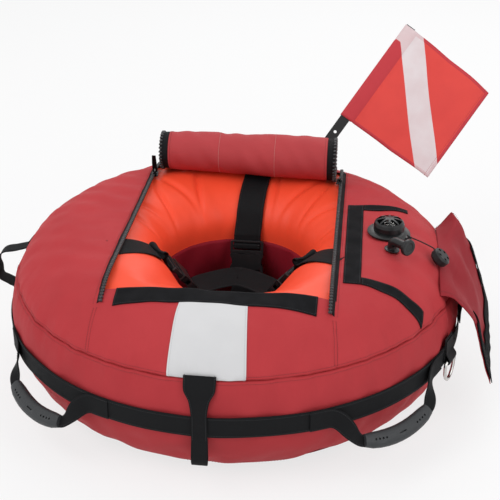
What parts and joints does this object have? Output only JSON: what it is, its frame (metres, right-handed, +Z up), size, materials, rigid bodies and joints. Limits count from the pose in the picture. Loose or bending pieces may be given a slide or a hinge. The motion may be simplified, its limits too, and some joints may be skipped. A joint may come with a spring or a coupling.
{
  "type": "freediving buoy",
  "caption": "Round inflatable freediving float in a sewn cover, with a zipped top opening, buckled harness in its centre hole, dump valve, handles and a dive flag on a pole.",
  "frame": {"origin": "the middle of the flat bottom panel, on the ground", "axes": "+Z up; -Y is the front, where the white panel and strap are; +X is the side with the valve"},
  "size_m": [0.9078, 0.8361, 0.5341],
  "materials": {
    "belt": "black webbing",
    "bladder": "orange coated bladder cloth, satin",
    "buckle_back_female": "black moulded nylon",
    "buckle_back_male": "black moulded nylon",
    "buckle_left_female": "black moulded nylon",
    "buckle_left_male": "black moulded nylon",
    "buckle_right_female": "black moulded nylon",
    "buckle_right_male": "black moulded nylon",
    "cover_bottom": "dark red nylon",
    "cover_flap_roll": "red woven nylon",
    "cover_side": "red woven nylon",
    "cover_top": "red woven nylon",
    "d_ring": "polished stainless steel",
    "d_ring_tab": "black webbing",
    "flag": "red flag cloth with a white stripe",
    "flag_pole": "black fibre-filled plastic",
    "front_strap": "black webbing",
    "grip_left": "soft grey-black moulding",
    "grip_right": "soft grey-black moulding",
    "handle_left_front": "black webbing",
    "handle_left_rear": "black webbing",
    "handle_right_front": "black webbing",
    "handle_right_rear": "black webbing",
    "harness_centre": "black webbing",
    "harness_cross_left": "black webbing",
    "harness_cross_right": "black webbing",
    "harness_strap_back": "black webbing",
    "harness_strap_left": "black webbing",
    "harness_strap_right": "black webbing",
    "inner_collar": "dark red nylon",
    "oral_mouthpiece": "black moulded plastic, satin",
    "oral_tube": "black moulded plastic, satin",
    "pole_pocket": "black webbing",
    "pull_knob": "black moulded plastic, satin",
    "roll_zip_left": "black zip tape and coil",
    "roll_zip_right": "black zip tape and coil",
    "side_loop_left": "black webbing",
    "side_loop_right": "black webbing",
    "valve_body": "black moulded plastic, satin",
    "valve_disc": "soft grey-black moulding",
    "valve_flap": "red woven nylon",
    "valve_flap_velcro": "black hook-and-loop tape",
    "valve_grille": "black moulded plastic, satin",
    "valve_lanyard": "black webbing",
    "valve_spring": "polished stainless steel",
    "valve_velcro_front": "black hook-and-loop tape",
    "valve_velcro_inner": "black hook-and-loop tape",
    "valve_velcro_rear": "black hook-and-loop tape",
    "velcro_front": "black hook-and-loop tape",
    "white_panel_front": "white nylon",
    "white_panel_rear": "white nylon",
    "zip_left": "black zip tape and coil",
    "zip_pull_left": "black enamelled metal",
    "zip_pull_right": "black enamelled metal",
    "zip_right": "black zip tape and coil",
    "zip_slider_left": "black enamelled metal",
    "zip_slider_right": "black enamelled metal"
  },
  "bodies": {
    "buoy": {"belt": "belt", "bladder": "bladder", "buckle_back_female": "buckle_back_female", "buckle_left_male": "buckle_left_male", "buckle_right_male": "buckle_right_male", "cover_bottom": "cover_bottom", "cover_flap_roll": "cover_flap_roll", "cover_side": "cover_side", "cover_top": "cover_top", "d_ring_tab": "d_ring_tab", "front_strap": "front_strap", "handle_left_front": "handle_left_front", "handle_left_rear": "handle_left_rear", "handle_right_front": "handle_right_front", "handle_right_rear": "handle_right_rear", "harness_centre": "harness_centre", "harness_cross_left": "harness_cross_left", "harness_cross_right": "harness_cross_right", "harness_strap_back": "harness_strap_back", "harness_strap_left": "harness_strap_left", "harness_strap_right": "harness_strap_right", "inner_collar": "inner_collar", "oral_tube": "oral_tube", "pole_pocket": "pole_pocket", "pull_knob": "pull_knob", "roll_zip_left": "roll_zip_left", "roll_zip_right": "roll_zip_right", "side_loop_left": "side_loop_left", "side_loop_right": "side_loop_right", "valve_body": "valve_body", "valve_flap": "valve_flap", "valve_lanyard": "valve_lanyard", "valve_spring": "valve_spring", "valve_velcro_front": "valve_velcro_front", "valve_velcro_inner": "valve_velcro_inner", "valve_velcro_rear": "valve_velcro_rear", "velcro_front": "velcro_front", "white_panel_front": "white_panel_front", "white_panel_rear": "white_panel_rear", "zip_left": "zip_left", "zip_right": "zip_right"},
    "slider_left": {"zip_slider_left": "zip_slider_left"},
    "slider_right": {"zip_slider_right": "zip_slider_right"},
    "pull_left": {"zip_pull_left": "zip_pull_left"},
    "pull_right": {"zip_pull_right": "zip_pull_right"},
    "plug_back": {"buckle_back_male": "buckle_back_male"},
    "socket_left": {"buckle_left_female": "buckle_left_female"},
    "socket_right": {"buckle_right_female": "buckle_right_female"},
    "handle_grip_left": {"grip_left": "grip_left"},
    "handle_grip_right": {"grip_right": "grip_right"},
    "steel_ring": {"d_ring": "d_ring"},
    "flag_set": {"flag_pole": "flag_pole", "flag": "flag"},
    "mouthpiece": {"oral_mouthpiece": "oral_mouthpiece"},
    "flap_edging": {"valve_flap_velcro": "valve_flap_velcro"},
    "seal_disc": {"valve_disc": "valve_disc"},
    "valve_dome": {"valve_grille": "valve_grille"}
  },
  "joints": [
    {"name": "zip_left_slide", "type": "slide", "parent": "buoy", "child": "slider_left", "axis": [0, -1, 0], "range_m": [-0.018, 0.36]},
    {"name": "zip_pull_left_hinge", "type": "hinge", "parent": "slider_left", "child": "pull_left", "pos_m": [-0.1755, 0.178, 0.30129], "axis": [-1, 0, 0], "range_deg": [-78, 92]},
    {"name": "zip_right_slide", "type": "slide", "parent": "buoy", "child": "slider_right", "axis": [0, -1, 0], "range_m": [-0.018, 0.36]},
    {"name": "zip_pull_right_hinge", "type": "hinge", "parent": "slider_right", "child": "pull_right", "pos_m": [0.1755, 0.178, 0.30129], "axis": [-1, 0, 0], "range_deg": [-22, 148]},
    {"name": "buckle_back_slide", "type": "slide", "parent": "buoy", "child": "plug_back", "axis": [0, 0.1736, 0.9848], "range_m": [0, 0.027], "deforming": ["harness_strap_back"]},
    {"name": "buckle_left_slide", "type": "slide", "parent": "buoy", "child": "socket_left", "axis": [0.5221, 0.3263, -0.788], "range_m": [0, 0.026], "deforming": ["harness_cross_left"]},
    {"name": "buckle_right_slide", "type": "slide", "parent": "buoy", "child": "socket_right", "axis": [-0.5221, 0.3263, -0.788], "range_m": [0, 0.026], "deforming": ["harness_cross_right"]},
    {"name": "handle_left_hinge", "type": "hinge", "parent": "buoy", "child": "handle_grip_left", "pos_m": [-0.26429, -0.27657, 0.135], "axis": [-0.723, 0.6909, 0], "range_deg": [-18, 100], "deforming": ["handle_left_front", "handle_left_rear"]},
    {"name": "handle_right_hinge", "type": "hinge", "parent": "buoy", "child": "handle_grip_right", "pos_m": [0.26429, -0.27657, 0.135], "axis": [-0.723, -0.6909, 0], "range_deg": [-18, 100], "deforming": ["handle_right_front", "handle_right_rear"]},
    {"name": "steel_ring_hinge", "type": "hinge", "parent": "buoy", "child": "steel_ring", "pos_m": [0.37756, -0.14872, 0.126], "axis": [-0.3665, -0.9304, 0], "range_deg": [0, 120]},
    {"name": "flag_pole_slide", "type": "slide", "parent": "buoy", "child": "flag_set", "axis": [0.5458, 0.4258, 0.7217], "range_m": [0, 0.03]},
    {"name": "mouthpiece_slide", "type": "slide", "parent": "buoy", "child": "mouthpiece", "axis": [-0.6687, 0.7427, -0.0349], "range_m": [0, 0.004], "stiffness_N_per_m": 400},
    {"name": "valve_flap_hinge", "type": "hinge", "parent": "buoy", "child": "flap_edging", "pos_m": [0.354, -0.008, 0.25], "axis": [0, -1, 0], "range_deg": [0, 75], "deforming": ["valve_flap"]},
    {"name": "valve_disc_slide", "type": "slide", "parent": "buoy", "child": "seal_disc", "axis": [0, 0, 1], "range_m": [0, 0.003], "stiffness_N_per_m": 200, "deforming": ["valve_spring"]},
    {"name": "valve_dome_turn", "type": "hinge", "parent": "buoy", "child": "valve_dome", "pos_m": [0.267, -0.022, 0.293], "axis": [0, 0, 1], "range_deg": [0, 90]}
  ]
}
